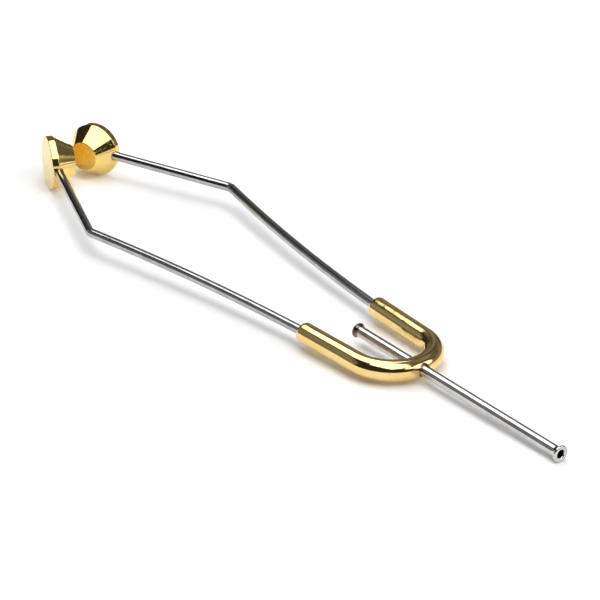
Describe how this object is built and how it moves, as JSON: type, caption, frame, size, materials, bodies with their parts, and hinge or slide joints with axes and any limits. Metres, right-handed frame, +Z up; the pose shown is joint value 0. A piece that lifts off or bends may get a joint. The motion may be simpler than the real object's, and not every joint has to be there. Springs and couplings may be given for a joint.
{
  "type": "fly tying bobbin holder",
  "caption": "Hand tool that pinches a spool of tying thread between cone feet on sprung wire legs and feeds the thread through a flared tube held in a bent brass yoke.",
  "frame": {"origin": "on the table that the holder lies on, under the middle of its bounding box", "axes": "+Y along the thread tube from its tip towards the feet, +Z up off the table, X across the legs; the holder is alike on both sides of X = 0"},
  "size_m": [0.0282, 0.1204, 0.0086],
  "materials": {
    "brass": "polished",
    "steel": "polished",
    "spring_wire": "polished",
    "solder": "satin"
  },
  "bodies": {
    "yoke_body": {"yoke": "brass", "thread_tube": "steel", "front_solder_fillet": "solder", "rear_solder_fillet": "solder", "left_leg_root": "spring_wire", "right_leg_root": "spring_wire"},
    "left_leg_body": {"left_leg_wire": "spring_wire", "left_foot": "brass"},
    "right_leg_body": {"right_leg_wire": "spring_wire", "right_foot": "brass"}
  },
  "joints": [
    {"name": "left_leg_flex", "type": "hinge", "parent": "yoke_body", "child": "left_leg_body", "pos_m": [-0.00679, -0.01182, 0.00253], "axis": [0, -0.0261, 0.9997], "range_deg": [-0.08, 10], "stiffness_Nm_per_rad": 1.2},
    {"name": "right_leg_flex", "type": "hinge", "parent": "yoke_body", "child": "right_leg_body", "pos_m": [0.00679, -0.01182, 0.00253], "axis": [0, 0.0261, -0.9997], "range_deg": [-0.08, 10], "stiffness_Nm_per_rad": 1.2}
  ]
}
